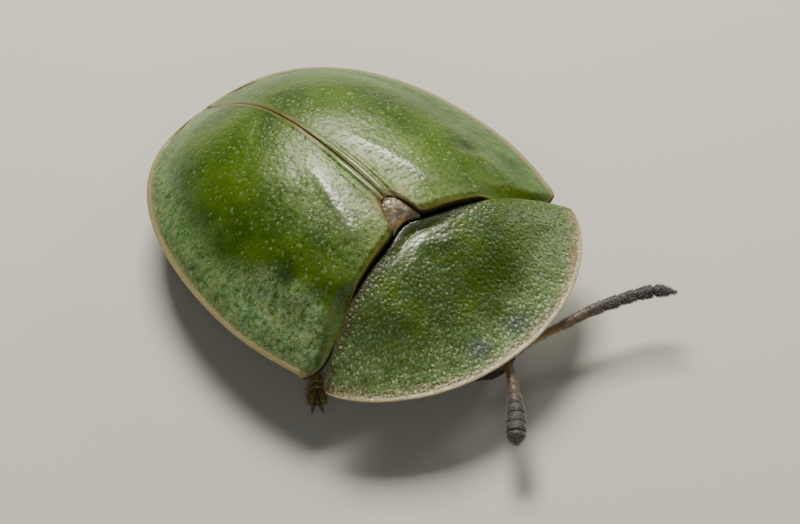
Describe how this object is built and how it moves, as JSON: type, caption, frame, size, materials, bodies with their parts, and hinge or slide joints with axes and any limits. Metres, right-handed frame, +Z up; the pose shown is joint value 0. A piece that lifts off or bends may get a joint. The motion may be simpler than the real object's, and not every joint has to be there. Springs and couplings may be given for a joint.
{
  "type": "green tortoise beetle",
  "caption": "Still life-size green tortoise beetle standing on the pads of its feet, with a domed shell, brim and feelers held out in front.",
  "frame": {"origin": "on the floor, under the middle of the beetle's bounding box", "axes": "+X to the beetle's left, +Y from the head to the tip of the wing cases, +Z up"},
  "size_m": [0.0068, 0.0104, 0.003],
  "materials": {
    "wing_case": "green, finely pitted, glossy horn with a pale brim",
    "pronotum": "green, finely pitted, glossy horn with a tan edge",
    "scutellum": "brown-grey glossy horn",
    "underside": "black horn with a soft gloss and short hairs",
    "head": "black-brown pitted horn",
    "eye": "black, faceted, glossy",
    "feeler": "yellow-brown at the root, black and downy at the club",
    "leg": "yellow-green horn with darker thighs"
  },
  "bodies": {
    "root": {"elytron_left": "wing_case", "elytron_right": "wing_case", "pronotum": "pronotum", "scutellum": "scutellum", "prothorax": "underside", "pterothorax": "underside", "abdomen": "underside", "head": "head", "eye_left": "eye", "eye_right": "eye", "antenna_left": "feeler", "antenna_right": "feeler", "leg_fore_left": "leg", "leg_fore_right": "leg", "leg_mid_left": "leg", "leg_mid_right": "leg", "leg_hind_left": "leg", "leg_hind_right": "leg"}
  },
  "joints": []
}
